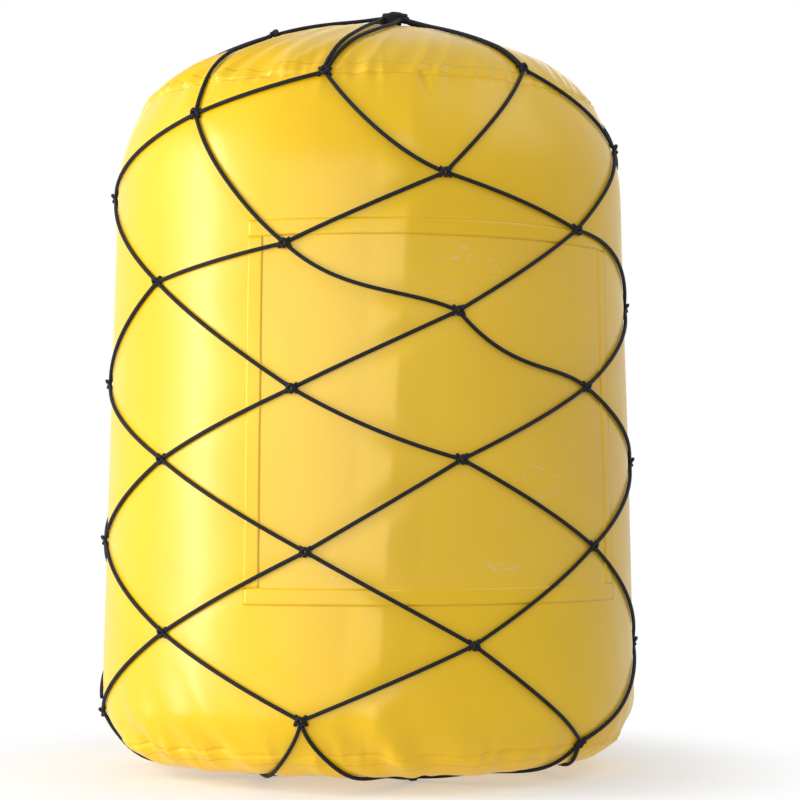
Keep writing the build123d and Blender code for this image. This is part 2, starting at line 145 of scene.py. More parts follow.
# Puckers and folds of the welded skin
foldForm = {
    "topPucker": 0.0028, "topPuckerReach": 0.022, "topPuckerCount": 17.0,
    "topFold": 0.0210, "topFoldReach": 0.100, "topFoldCount": 9.0, "topFoldSide": -54.0,
    "wallRidge": 0.0045, "wallRidgeReach": 0.050, "wallRidgeTop": -8.4, "wallRidgeFoot": -17.5,
    "wallRidgeFade": 0.1, "baseFade": 0.03,
    "neckFold": 0.0045, "neckFoldReach": 0.050, "neckFoldCount": 8.0,
    "lowPucker": 0.0064, "lowPuckerReach": 0.034, "lowPuckerCount": 12.0,
    "lowFold": 0.0190, "lowFoldReach": 0.055, "lowFoldCount": 7.0, "lowFoldSide": -38.0,
    "seamGroove": 0.0036, "seamGrooveReach": 0.0035,
    "notchAzimuth": -5.8, "notchDepth": 0.007, "notchWidth": 0.8, "notchReach": 0.030,
    "lowNotchAzimuth": -5.3, "lowNotchDepth": 0.009, "lowNotchWidth": 1.6, "lowNotchDrop": 0.085,
    "cordDent": 0.0016, "cordDentReach": 0.014, "cordFlattens": 0.022,
}
# Broad swelling of the inflated skin, which the cords follow too
swellForm = {
    "crown": 0.0055,
    "left": -0.0080, "leftAzimuth": -108.0, "leftShare": 0.68, "leftReach": 0.25,
    "footTuck": 0.0070, "footTuckReach": 0.045, "baseTuck": 0.0140, "baseTuckReach": 0.060,
    "wallWave": 0.0018, "wallWaveCount": 1.7, "wallFade": 0.12,
}


def ridged(point):
    return 1.0 - 2.2 * abs(noise.noise(point))


def roundNoise(azimuth, count, shear, drop, seed):
    turn = math.radians(azimuth) + shear * drop
    return Vector((math.cos(turn) * count, math.sin(turn) * count, seed + drop * 4.0))


def swellHeight(azimuth, drop):
    form = swellForm
    above = drop - topSeam
    below = drop - bottomSeam
    height = -form["footTuck"] * math.exp(-(below / form["footTuckReach"]) ** 2)
    height -= form["baseTuck"] * math.exp(-((drop - baseStart) / form["baseTuckReach"]) ** 2)
    if above < 0:
        share = drop / topSeam
        facing = max(cosDeg(azimuth - form["leftAzimuth"]), 0)
        beside = (share - form["leftShare"]) / form["leftReach"]
        height += form["crown"] * (1 - share ** 2)
        height += form["left"] * facing * math.exp(-beside ** 2) * (1 - share ** 8)
    wallShare = max(0.0, min(1.0, above / form["wallFade"], -below / form["wallFade"]))
    return height + form["wallWave"] * wallShare * noise.noise(
        roundNoise(azimuth, form["wallWaveCount"], 0.0, drop * 0.6, 2.2))


def foldHeight(azimuth, drop):
    # large folds beside the seams, strongest on the left of the top
    form = foldForm
    above = drop - topSeam
    below = drop - bottomSeam
    if above < 0:
        side = 0.16 + 0.84 * max(cosDeg(azimuth - form["topFoldSide"]), 0) ** 6
        height = form["topFold"] * side * math.exp(above / form["topFoldReach"]) * (ridged(
            roundNoise(azimuth, form["topFoldCount"], 1.5, drop, 7.7)) - 0.6)
    else:
        height = form["neckFold"] * math.exp(-above / form["neckFoldReach"]) * noise.noise(
            roundNoise(azimuth, form["neckFoldCount"], 0.7, drop * 0.5, 9.2))
    if above > 0 and below < 0:
        # a long upright ridge where the wall turns from the light
        down = above / (bottomSeam - topSeam)
        crest = form["wallRidgeTop"] + (form["wallRidgeFoot"] - form["wallRidgeTop"]) * down
        aside = abs(math.radians(azimuth - crest)) * skinStation(drop)[0] / form["wallRidgeReach"]
        fade = min(1, above / form["wallRidgeFade"], -below / form["wallRidgeFade"])
        height += form["wallRidge"] * max(1 - aside, 0) * fade
    side = 0.5 + 0.5 * max(cosDeg(azimuth - form["lowFoldSide"]), 0) ** 3
    height += form["lowFold"] * side * math.exp(-abs(below) / form["lowFoldReach"]) * noise.noise(
        roundNoise(azimuth, form["lowFoldCount"], -1.4, drop, 5.9))
    if drop > baseStart:
        height *= math.exp(-(drop - baseStart) / form["baseFade"])
    return height


def puckerHeight(azimuth, drop):
    # fine gathers at both seams, the seams' grooves, a notch in the top seam and one at the base
    form = foldForm
    above = drop - topSeam
    below = drop - bottomSeam
    height = 0.0
    if abs(above) < 0.15:
        reach = form["topPuckerReach"] * (1.0 + 1.3 * noise.noise(roundNoise(azimuth, 6.0, 0.0, 0.0, 4.6)))
        reach *= 1.0 if above < 0 else 0.5
        height += form["topPucker"] * math.exp(-abs(above) / reach) * ridged(
            roundNoise(azimuth, form["topPuckerCount"], 0.0, drop * 0.3, 3.1))
        height -= form["seamGroove"] * math.exp(-(above / form["seamGrooveReach"]) ** 2)
        aside = (azimuth - form["notchAzimuth"] - above * 18.0) / form["notchWidth"]
        lean = form["notchReach"] if above > 0 else form["notchReach"] * 0.3
        height -= form["notchDepth"] * math.exp(-aside ** 2 - (above / lean) ** 2)
    if abs(below) < 0.15:
        reach = form["lowPuckerReach"] * (1.0 + 1.2 * noise.noise(roundNoise(azimuth, 5.0, 0.0, 0.0, 8.8)))
        reach *= 1.0 if below > 0 else 0.5
        height += form["lowPucker"] * math.exp(-abs(below) / reach) * ridged(
            roundNoise(azimuth, form["lowPuckerCount"], 0.0, drop * 0.3, 1.3))
        height -= form["seamGroove"] * math.exp(-(below / form["seamGrooveReach"]) ** 2)
        aside = (azimuth - form["lowNotchAzimuth"]) / form["lowNotchWidth"]
        lower = (below - form["lowNotchDrop"]) / form["notchReach"]
        height -= form["lowNotchDepth"] * math.exp(-aside ** 2 - lower ** 2)
    return height


def onSkin(azimuth, drop, lift):
    radius, height, slope = skinStation(drop)
    normal = skinNormal(azimuth, drop)
    return outward(azimuth) * radius + Vector((0, 0, height)) + normal * (lift + swellHeight(azimuth, drop))


# The net's plan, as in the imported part
netForm = {
    "cordRadius": 0.003, "knotRadius": 0.0090, "trimShare": 0.9, "halfColumns": 10,
    "front": -16.0, "sagAzimuth": -10.0, "baseTurn": 1.4, "pressed": 0.0007,
}
# Columns: share of the run from crown to base, sag at the front, crowding at the front, twist
netRows = [
    (0.181, 0.140, 0.31, 0.0), (0.251, 0.183, 0.23, -0.5), (0.362, 0.141, 0.08, -3.0),
    (0.453, 0.077, 0.05, -1.2), (0.560, 0.030, 0.07, -1.0), (0.642, 0.003, 0.09, 0.0),
    (0.724, 0.013, 0.10, 1.5), (0.807, 0.021, 0.08, 2.0), (0.890, 0.000, 0.12, 0.5),
    (1.070, 0.000, 0.10, 0.0),
]
# Knots pulled out of their row: row and column, then turn round the body and added drop
pulledKnots = {
    (0, 0): (24.0, -0.072), (1, 5): (0.0, 0.075), (3, 5): (0.0, 0.035), (7, 5): (0.0, 0.038),
    (8, 0): (0.0, 0.018), (8, 4): (0.0, 0.053),
}
# Slack strands, which leave their knot to the right: row and column, then the sag and where it is deepest
looseStrands = {
    (0, 2): (0.025, "middle"), (1, 1): (0.017, "middle"), (2, 2): (0.020, "start"), (3, 3): (0.026, "start"),
    (4, 2): (0.010, "middle"), (2, 4): (-0.020, "middle"),
}
lastRow = len(netRows) - 1


def knotPlace(row, column):
    share, sag, crowding, twist = netRows[row]
    fromFront = (column - 2.5) * 360 / netForm["halfColumns"]
    azimuth = netForm["front"] + twist + fromFront - math.degrees(crowding) * sinDeg(fromFront)
    hang = max(cosDeg(azimuth - netForm["sagAzimuth"]), 0) ** 2
    turn, addedDrop = pulledKnots.get((row, column), (0.0, 0.0))
    return azimuth + turn, share * baseStart + sag * hang + addedDrop


def cordHeight(azimuth, drop):
    # cords press into the skin, and lie on the floor under the base
    point = onSkin(azimuth, drop, netForm["cordRadius"] - netForm["pressed"])
    point.z = max(point.z, netForm["cordRadius"])
    return point


def strandPath(row, column, step, count=26):
    azimuth, drop = knotPlace(row, column)
    nextAzimuth, nextDrop = knotPlace(row + 1, column + step)
    slack, deepest = looseStrands.get((row, column), (0.0, "middle")) if step > 0 else (0.0, "middle")
    turn = netForm["baseTurn"] if row + 1 == lastRow else 1.0
    points = []
    for i in range(count + 1):
        part = i / count
        sag = 4 * part * (1 - part) if deepest == "middle" else 6.75 * part * (1 - part) ** 2
        points.append(cordHeight(
            azimuth + (nextAzimuth - azimuth) * part ** turn, drop + (nextDrop - drop) * part + slack * sag))
    return points


def trimPath(points, startTrim, endTrim):
    # cuts a path back by a distance at both ends
    for trim, turnedRound in ((startTrim, False), (endTrim, True)):
        if turnedRound:
            points = points[::-1]
        left = trim
        while left > 0 and len(points) > 2:
            run = points[1] - points[0]
            if run.length > left:
                points = [points[0] + run.normalized() * left] + points[1:]
                break
            left -= run.length
            points = points[1:]
        if turnedRound:
            points = points[::-1]
    return points


# Mesh helpers
def newPiece(name, bm, material, smooth=True):
    for face in bm.faces:
        face.smooth = smooth
    mesh = bpy.data.meshes.new(name)
    bm.to_mesh(mesh)
    bm.free()
    piece = bpy.data.objects.new(name, mesh)
    bpy.context.scene.collection.objects.link(piece)
    mesh.materials.append(material)
    return piece


def dress(piece, nodes, body="buoy"):
    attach(piece, body)
    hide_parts(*nodes)
    return piece


def sweepTube(bm, path, radius, sides=8):
    # a tube with its own UV map: once round is u, metres along is v
    uvLayer = bm.loops.layers.uv.verify()
    normal = (path[1] - path[0]).orthogonal().normalized()
    rings, lengths, along = [], [], 0.0
    for i, point in enumerate(path):
        tangent = (path[min(i + 1, len(path) - 1)] - path[max(i - 1, 0)]).normalized()
        normal = (normal - tangent * normal.dot(tangent)).normalized()
        turned = Matrix((normal, tangent.cross(normal), tangent)).transposed().to_4x4()
        made = bmesh.ops.create_circle(
            bm, segments=sides, radius=radius, matrix=Matrix.Translation(point) @ turned)
        rings.append(made["verts"])
        if i:
            along += (point - path[i - 1]).length
        lengths.append(along)
    for i in range(len(rings) - 1):
        for j in range(sides):
            k = (j + 1) % sides
            face = bm.faces.new((rings[i][j], rings[i][k], rings[i + 1][k], rings[i + 1][j]))
            corners = ((j, i), (j + 1, i), (j + 1, i + 1), (j, i + 1))
            for loop, (around, ring) in zip(face.loops, corners):
                loop[uvLayer].uv = (around / sides, lengths[ring])
    bm.faces.new(rings[0][::-1])
    bm.faces.new(rings[-1])


def smoothLine(points, steps=4):
    # a curve through the points
    line = []
    for i in range(len(points) - 1):
        p0, p1 = points[max(i - 1, 0)], points[i]
        p2, p3 = points[i + 1], points[min(i + 2, len(points) - 1)]
        for s in range(steps):
            t = s / steps
            line.append(0.5 * (2 * p1 + (p2 - p0) * t + (2 * p0 - 5 * p1 + 4 * p2 - p3) * t * t
                               + (3 * p1 - p0 - 3 * p2 + p3) * t ** 3))
    return line + [points[-1]]


# Materials
def nodeMaterial(name):
    material = bpy.data.materials.new(name)
    material.use_nodes = True
    nodes = material.node_tree.nodes
    return material, nodes, material.node_tree.links, nodes["Principled BSDF"]


def addNode(nodes, kind, **values):
    node = nodes.new(kind)
    for key, value in values.items():
        if key in node.inputs:
            node.inputs[key].default_value = value
        else:
            setattr(node, key, value)
    return node


yellowFinish = {
    "deep": (0.80, 0.485, 0.006, 1), "bright": (0.87, 0.55, 0.010, 1),
    "roughness": 0.31, "weave": 900.0, "weaveDepth": 0.05, "gloss": 0.42,
}


def yellowFabric():
    material, nodes, links, shader = nodeMaterial("yellowFabric")
    place = addNode(nodes, "ShaderNodeTexCoord")
    cloud = addNode(nodes, "ShaderNodeTexNoise", Scale=3.0, Detail=4.0)
    tone = addNode(nodes, "ShaderNodeValToRGB")
    tone.color_ramp.elements[0].color = yellowFinish["deep"]
    tone.color_ramp.elements[1].color = yellowFinish["bright"]
    tone.color_ramp.elements[0].position, tone.color_ramp.elements[1].position = 0.3, 0.7
    links.new(place.outputs["Object"], cloud.inputs["Vector"])
    links.new(cloud.outputs["Fac"], tone.inputs["Fac"])
    links.new(tone.outputs["Color"], shader.inputs["Base Color"])
    grime = addNode(nodes, "ShaderNodeTexNoise", Scale=22.0, Detail=5.0)
    rough = addNode(nodes, "ShaderNodeMapRange")
    rough.inputs["To Min"].default_value = yellowFinish["roughness"] - 0.05
    rough.inputs["To Max"].default_value = yellowFinish["roughness"] + 0.07
    links.new(place.outputs["Object"], grime.inputs["Vector"])
    links.new(grime.outputs["Fac"], rough.inputs["Value"])
    links.new(rough.outputs["Result"], shader.inputs["Roughness"])
    weave = addNode(nodes, "ShaderNodeTexNoise", Scale=yellowFinish["weave"], Detail=2.0)
    bump = addNode(nodes, "ShaderNodeBump", Strength=yellowFinish["weaveDepth"], Distance=0.0004)
    links.new(place.outputs["Object"], weave.inputs["Vector"])
    links.new(weave.outputs["Fac"], bump.inputs["Height"])
    links.new(bump.outputs["Normal"], shader.inputs["Normal"])
    shader.inputs["Specular IOR Level"].default_value = yellowFinish["gloss"]
    return material


# the film's pale colour shows mainly where its alpha rises, as painted glints
filmFinish = {
    "colour": (0.95, 0.90, 0.72, 1), "clear": 0.03, "paintedGlint": 0.42, "roughness": 0.10,
    "streaks": (15.0, 62.0, 1.0), "streakWidth": 0.030,
}


def clearFilm():
    # painted glints: fine broken streaks show the film's pale colour where it is creased, standing in for
    # reflections
    material, nodes, links, shader = nodeMaterial("clearFilm")
    shader.inputs["Base Color"].default_value = filmFinish["colour"]
    shader.inputs["Roughness"].default_value = filmFinish["roughness"]
    flat = addNode(nodes, "ShaderNodeUVMap")
    stretch = addNode(nodes, "ShaderNodeMapping", Scale=filmFinish["streaks"])
    field = addNode(nodes, "ShaderNodeTexNoise", Scale=1.0, Detail=2.0, Distortion=0.5)
    middle = addNode(nodes, "ShaderNodeMath", operation="SUBTRACT")
    middle.inputs[1].default_value = 0.5
    away = addNode(nodes, "ShaderNodeMath", operation="ABSOLUTE")
    streak = addNode(nodes, "ShaderNodeMapRange")
    streak.inputs["From Max"].default_value = filmFinish["streakWidth"]
    streak.inputs["To Min"].default_value = 1.0
    streak.inputs["To Max"].default_value = 0.0
    gaps = addNode(nodes, "ShaderNodeTexNoise", Scale=24.0, Detail=1.0)
    broken = addNode(nodes, "ShaderNodeMapRange")
    broken.inputs["From Min"].default_value = 0.50
    broken.inputs["From Max"].default_value = 0.66
    links.new(flat.outputs["UV"], stretch.inputs["Vector"])
    links.new(stretch.outputs["Vector"], field.inputs["Vector"])
    links.new(field.outputs["Fac"], middle.inputs[0])
    links.new(middle.outputs[0], away.inputs[0])
    links.new(away.outputs[0], streak.inputs["Value"])
    links.new(flat.outputs["UV"], gaps.inputs["Vector"])
    links.new(gaps.outputs["Fac"], broken.inputs["Value"])
    # the crease mask places the painted glints
    creaseAndGlint = addNode(nodes, "ShaderNodeAttribute", attribute_name="creaseAndGlint")
    pieces = addNode(nodes, "ShaderNodeMath", operation="MULTIPLY")
    glint = addNode(nodes, "ShaderNodeMath", operation="MULTIPLY")
    links.new(streak.outputs["Result"], pieces.inputs[0])
    links.new(broken.outputs["Result"], pieces.inputs[1])
    links.new(pieces.outputs[0], glint.inputs[0])
    links.new(creaseAndGlint.outputs["Fac"], glint.inputs[1])
    # alpha of the painted glints, from clear film up to the glinting streaks
    glintAlpha = addNode(nodes, "ShaderNodeMapRange")
    glintAlpha.inputs["To Min"].default_value = filmFinish["clear"]
    glintAlpha.inputs["To Max"].default_value = filmFinish["paintedGlint"]
    links.new(glint.outputs[0], glintAlpha.inputs["Value"])
    links.new(glintAlpha.outputs["Result"], shader.inputs["Alpha"])
    place = addNode(nodes, "ShaderNodeTexCoord")
    ripple = addNode(nodes, "ShaderNodeTexNoise", Scale=35.0, Detail=3.0)
    bump = addNode(nodes, "ShaderNodeBump", Strength=0.15, Distance=0.002)
    links.new(place.outputs["Object"], ripple.inputs["Vector"])
    links.new(ripple.outputs["Fac"], bump.inputs["Height"])
    links.new(bump.outputs["Normal"], shader.inputs["Normal"])
    return material


# cord colours: painted shade in the plait's grooves, paler on its crests
cordFinish = {
    "shadedGroove": (0.003, 0.003, 0.005, 1), "litCrest": (0.012, 0.013, 0.020, 1),
    "strands": 6.0, "pitch": 110.0, "roughness": 0.72,
}


def netCord():
    # plaited cover from two crossing waves on the tube's own UV map, with painted shade in the grooves between
    # strands and paler crests
    material, nodes, links, shader = nodeMaterial("netCord")
    place = addNode(nodes, "ShaderNodeUVMap")
    split = addNode(nodes, "ShaderNodeSeparateXYZ")
    links.new(place.outputs["UV"], split.inputs["Vector"])
    around = addNode(nodes, "ShaderNodeMath", operation="MULTIPLY")
    around.inputs[1].default_value = cordFinish["strands"] * 2 * math.pi
    along = addNode(nodes, "ShaderNodeMath", operation="MULTIPLY")
    along.inputs[1].default_value = cordFinish["pitch"] * 2 * math.pi
    links.new(split.outputs["X"], around.inputs[0])
    links.new(split.outputs["Y"], along.inputs[0])
    waves = []
    for kind in ("ADD", "SUBTRACT"):
        phase = addNode(nodes, "ShaderNodeMath", operation=kind)
        wave = addNode(nodes, "ShaderNodeMath", operation="SINE")
        links.new(around.outputs[0], phase.inputs[0])
        links.new(along.outputs[0], phase.inputs[1])
        links.new(phase.outputs[0], wave.inputs[0])
        waves.append(wave)
    plait = addNode(nodes, "ShaderNodeMath", operation="MAXIMUM")
    links.new(waves[0].outputs[0], plait.inputs[0])
    links.new(waves[1].outputs[0], plait.inputs[1])
    # painted shade: darker where the plait is low, paler where it is high
    tone = addNode(nodes, "ShaderNodeValToRGB")
    tone.color_ramp.elements[0].color = cordFinish["shadedGroove"]
    tone.color_ramp.elements[1].color = cordFinish["litCrest"]
    links.new(plait.outputs[0], tone.inputs["Fac"])
    links.new(tone.outputs["Color"], shader.inputs["Base Color"])
    bump = addNode(nodes, "ShaderNodeBump", Strength=0.6, Distance=0.0005)
    links.new(plait.outputs[0], bump.inputs["Height"])
    links.new(bump.outputs["Normal"], shader.inputs["Normal"])
    shader.inputs["Roughness"].default_value = cordFinish["roughness"]
    shader.inputs["Specular IOR Level"].default_value = 0.25
    return material


def mouldedPlastic(name, colour, roughness):
    material, nodes, links, shader = nodeMaterial(name)
    place = addNode(nodes, "ShaderNodeTexCoord")
    grain = addNode(nodes, "ShaderNodeTexNoise", Scale=1400.0, Detail=2.0)
    tone = addNode(nodes, "ShaderNodeValToRGB")
    tone.color_ramp.elements[0].color = tuple(c * 0.85 for c in colour[:3]) + (1,)
    tone.color_ramp.elements[1].color = colour
    bump = addNode(nodes, "ShaderNodeBump", Strength=0.12, Distance=0.0003)
    links.new(place.outputs["Object"], grain.inputs["Vector"])
    links.new(grain.outputs["Fac"], tone.inputs["Fac"])
    links.new(tone.outputs["Color"], shader.inputs["Base Color"])
    links.new(grain.outputs["Fac"], bump.inputs["Height"])
    links.new(bump.outputs["Normal"], shader.inputs["Normal"])
    shader.inputs["Roughness"].default_value = roughness
    return material


yellow = yellowFabric()
film = clearFilm()
cordCover = netCord()
valveBlack = mouldedPlastic("valveBlack", (0.030, 0.030, 0.033, 1), 0.45)
thimbleGrey = mouldedPlastic("thimbleGrey", (0.55, 0.56, 0.58, 1), 0.40)

# The net's cords come first, because the skin is dented under them
print("net: routes")
strandPaths = {}
for row in range(lastRow):
    strandPaths[row] = [strandPath(row, column, step)
                        for column in range(row % 2, netForm["halfColumns"], 2) for step in (-1, 1)]

gatherForm = {
    "radius": 0.117, "azimuth": 2.0, "lashing": 0.020, "legSpread": 0.007, "turns": 3,
    "fan": {2: 0.028},        # legs of these columns part wider at the lashing
    "bow": {2: -0.016},       # slack legs of these columns bow towards the front
    "drawnUp": 0.008, "riseReach": 0.045,        # legs rise to the lashing
    "legStart": 0.004, "legEnd": 0.8,            # from the knot, and as a share of the lashing
    "knobShare": 1.2,                            # top lashing against the bottom one
}
gatherDrop = dropAtRadius(gatherForm["radius"])
gatherPoint = onSkin(gatherForm["azimuth"], gatherDrop, netForm["cordRadius"])


def legPath(knot, gather, side, fan, bow, count=24):
    # the pair of legs of one knot run side by side and part a little on the way
    toward = Vector((gather.x - knot.x, gather.y - knot.y, 0)).normalized()
    across = Vector((-toward.y, toward.x, 0)) * side
    start = Vector((knot.x, knot.y, 0)) + toward * gatherForm["legStart"]
    end = Vector((gather.x, gather.y, 0)) - toward * gatherForm["lashing"] * gatherForm["legEnd"]
    points = []
    for i in range(count + 1):
        part = i / count
        spread = (gatherForm["legSpread"] + (fan - gatherForm["legSpread"]) * part) / 2
        spread *= 0.75 + 0.25 * part + 0.5 * math.sin(math.pi * part)
        points.append(start.lerp(end, part) + across * (spread + side * bow * math.sin(math.pi * part)))
    return points


topLegPaths = []
for column in range(0, netForm["halfColumns"], 2):
    knot = onSkin(*knotPlace(0, column), 0)
    for side in (-1, 1):
        path = []
        fan = gatherForm["fan"].get(column, gatherForm["legSpread"])
        for point in legPath(knot, gatherPoint, side, fan, gatherForm["bow"].get(column, 0.0)):
            azimuth = math.degrees(math.atan2(point.x, -point.y))
            onDome = cordHeight(azimuth, dropAtRadius(math.hypot(point.x, point.y)))
            away = (onDome - gatherPoint).length
            nearness = math.exp(-(away / gatherForm["riseReach"]) ** 2)
            path.append(onDome + Vector((0, 0, gatherForm["drawnUp"])) * nearness)
        topLegPaths.append(path)

bottomLegPaths = []
for column in range(lastRow % 2, netForm["halfColumns"], 2):
    knot = onSkin(*knotPlace(lastRow, column), 0)
    for side in (-1, 1):
        plan = legPath(knot, Vector((0, 0, 0)), side, gatherForm["legSpread"], 0.0, 6)
        bottomLegPaths.append([Vector((point.x, point.y, netForm["cordRadius"])) for point in plan])

dentPoints = [point for paths in strandPaths.values() for path in paths for point in path]
dentPoints += [point for path in topLegPaths for point in path]
dentTree = KDTree(len(dentPoints))
for i, point in enumerate(dentPoints):
    dentTree.insert(point, i)
dentTree.balance()


def dentedSkin(azimuth, drop, lift):
    # a cord presses the puckers flat and sinks in a little
    point = onSkin(azimuth, drop, lift)
    distance = dentTree.find(point)[2]
    pressed = math.exp(-(distance / foldForm["cordDentReach"]) ** 2)
    flattened = math.exp(-(distance / foldForm["cordFlattens"]) ** 2)
    rise = puckerHeight(azimuth, drop) * (1 - pressed) - foldForm["cordDent"] * pressed
    rise += foldHeight(azimuth, drop) * (1 - flattened)
    return point + skinNormal(azimuth, drop) * rise


# Envelope panels and welded strips
def evenly(share):
    return share


def closerAtEnd(share):
    return 1 - (1 - share) ** 1.6


def closerAtStart(share):
    return share ** 1.6


def closerAtBothEnds(share):
    return share - 0.12 * math.sin(2 * math.pi * share)


def skinSheet(name, drops, azimuths, cells, spacing, lift, thickness, material):
    # a grid laid on the skin; lift and thickness are given at the first and the last drop
    bm = bmesh.new()
    grid = bmesh.ops.create_grid(bm, x_segments=cells[0], y_segments=cells[1], size=0.5)
    for vert in grid["verts"]:
        azimuth = azimuths[0] + (azimuths[1] - azimuths[0]) * (vert.co.x + 0.5)
        share = spacing(0.5 - vert.co.y)
        drop = drops[0] + (drops[1] - drops[0]) * share
        vert.co = dentedSkin(azimuth, drop, lift[0] + (lift[1] - lift[0]) * share)
    bmesh.ops.remove_doubles(bm, verts=bm.verts[:], dist=0.00001)
    bmesh.ops.recalc_face_normals(bm, faces=bm.faces[:])
    if sum(vert.normal.dot(vert.co) for vert in bm.verts) < 0:
        bmesh.ops.reverse_faces(bm, faces=bm.faces[:])
    if thickness:
        bm.normal_update()
        normals = {tuple(vert.co): vert.normal.copy() for vert in bm.verts}
        rim = [edge for edge in bm.edges if edge.is_boundary]
        made = bmesh.ops.extrude_edge_only(bm, edges=rim)
        for vert in [item for item in made["geom"] if isinstance(item, bmesh.types.BMVert)]:
            vert.co -= normals[tuple(vert.co)] * thickness
    return newPiece(name, bm, material)


print("envelope: panels")
layer = skinForm["layer"]
panels = [
    # name, node, first and last drop, cells around and down, where rows stand closer
    ("topPanel", "top_panel", (0.0, topSeam), (600, 90), closerAtEnd),
    ("wallPanel", "wall_panel", (topSeam, bottomSeam), (600, 160), closerAtBothEnds),
    ("bottomPanel", "bottom_panel", (bottomSeam, baseEnd), (600, 70), closerAtStart),
]
for name, node, drops, cells, spacing in panels:
    piece = skinSheet(name, drops, (-180, 180), cells, spacing, (0.0, 0.0), 0.0, yellow)
    dress(piece, [node])

print("envelope: weld bands")
bandForm = {"width": 0.020, "lap": 0.005, "feather": 0.0002, "lapRise": 0.0005, "seamHalfTurn": 2.15}
lapEdges = (topSeam + bandForm["lap"], bottomSeam - bandForm["lap"])
bands = [
    # name, node, first and last drop, azimuths, cells, lift at the first and last drop
    ("topWeldBand", "top_weld_band", (topSeam - bandForm["width"], lapEdges[0]), (-180, 180), (600, 12),
     (bandForm["feather"], bandForm["lapRise"])),
    ("bottomWeldBand", "bottom_weld_band", (lapEdges[1], bottomSeam + bandForm["width"]), (-180, 180),
     (600, 12), (bandForm["lapRise"], bandForm["feather"])),
    ("wallSeamStrip", "wall_seam_strip", lapEdges,
     (180 - bandForm["seamHalfTurn"], 180 + bandForm["seamHalfTurn"]), (8, 200), (layer, layer)),
]
for name, node, drops, azimuths, cells, lift in bands:
    piece = skinSheet(name, drops, azimuths, cells, evenly, lift, layer, yellow)
    dress(piece, [node])

print("pocket")
pocketForm = {"width": 0.639, "height": 0.562, "margin": 0.025, "foot": 0.226, "lift": 0.0005, "creaseAndGlint": 0.0012}
# Creased spots of the film, which also carry its painted glints: shares of its width and height, reach
creaseAndGlintSpots = [
    (0.60, 0.06, 0.14), (0.47, 0.21, 0.06), (0.76, 0.67, 0.13), (0.62, 0.95, 0.07), (0.16, 0.93, 0.07),
]
pocketLow = bottomSeam - pocketForm["foot"]
pocketHigh = pocketLow - pocketForm["height"]
pocketRadius = skinStation((pocketLow + pocketHigh) / 2)[0]
pocketSide = math.degrees(pocketForm["width"] / 2 / pocketRadius)
pocketEdge = math.degrees(pocketForm["margin"] / pocketRadius)
margin = pocketForm["margin"]
upright = (pocketHigh + margin, pocketLow - margin)
frameStrips = [
    # name, node, first and last drop, azimuths, cells around and down
    ("pocketFrameTop", "pocket_frame_top", (pocketHigh, upright[0]), (-pocketSide, pocketSide), (120, 6)),
    ("pocketFrameBottom", "pocket_frame_bottom", (upright[1], pocketLow), (-pocketSide, pocketSide),
     (120, 6)),
    ("pocketFrameLeft", "pocket_frame_left", upright, (-pocketSide, pocketEdge - pocketSide), (6, 110)),
    ("pocketFrameRight", "pocket_frame_right", upright, (pocketSide - pocketEdge, pocketSide), (6, 110)),
]
for name, node, drops, azimuths, cells in frameStrips:
    piece = skinSheet(name, drops, azimuths, cells, evenly, (layer, layer), layer, yellow)
    dress(piece, [node])


def creaseAndGlintAt(u, v):
    near = 0.0
    for spotU, spotV, reach in creaseAndGlintSpots:
        near += math.exp(-((u - spotU) ** 2 + (v - spotV) ** 2) / reach ** 2)
    return min(near, 1.0)


def pocketWindow():
    bm = bmesh.new()
    creaseAndGlintLayer = bm.verts.layers.float.new("creaseAndGlint")
    grid = bmesh.ops.create_grid(bm, x_segments=180, y_segments=160, size=0.5)
    uvLayer = bm.loops.layers.uv.verify()
    left, right = pocketEdge - pocketSide, pocketSide - pocketEdge
    shares = {}
    for vert in grid["verts"]:
        u, v = vert.co.x + 0.5, 0.5 - vert.co.y
        shares[vert] = (u, v)
        azimuth, drop = left + (right - left) * u, upright[0] + (upright[1] - upright[0]) * v
        # the mask lifts the film into creases, and in the film's material it paints glints
        vert[creaseAndGlintLayer] = creaseAndGlintAt(u, v) * min(1.0, min(u, 1 - u, v, 1 - v) / 0.02)
        vert.co = dentedSkin(azimuth, drop, pocketForm["lift"] + pocketForm["creaseAndGlint"] * vert[creaseAndGlintLayer])
    for face in bm.faces:
        for loop in face.loops:
            loop[uvLayer].uv = shares[loop.vert]
    bmesh.ops.recalc_face_normals(bm, faces=bm.faces[:])
    return newPiece("pocketWindow", bm, film)


windowPiece = dress(pocketWindow(), ["pocket_window"])

print("net: cords and knots")
# A knot is two interlocked bights. Columns: right, up, outward, in cord radii
upperBight = [(-3.0, 2.4, 0.0), (-1.7, 1.2, 0.2), (-1.25, -0.7, 0.5), (0.0, -1.9, 1.2), (1.25, -0.7, 0.5),
              (1.7, 1.2, 0.2), (3.0, 2.4, 0.0)]
lowerBight = [(-3.0, -2.4, 0.0), (-2.2, -0.6, 0.2), (-1.3, 0.9, 1.5), (0.0, 1.5, 2.0), (1.3, 0.9, 1.5),
              (2.2, -0.6, 0.2), (3.0, -2.4, 0.0)]


def knotTubes(bm, row, column):
    azimuth, drop = knotPlace(row, column)
    centre = cordHeight(azimuth, drop)
    out = skinNormal(azimuth, drop)
    right = Vector((cosDeg(azimuth), sinDeg(azimuth), 0))
    up = out.cross(right)
    size = netForm["cordRadius"]
    for bight in (upperBight, lowerBight):
        route = [centre + (right * x + up * y + out * z) * size for x, y, z in bight]
        for point in route:
            point.z = max(point.z, size)
        sweepTube(bm, smoothLine(route), size, 8)


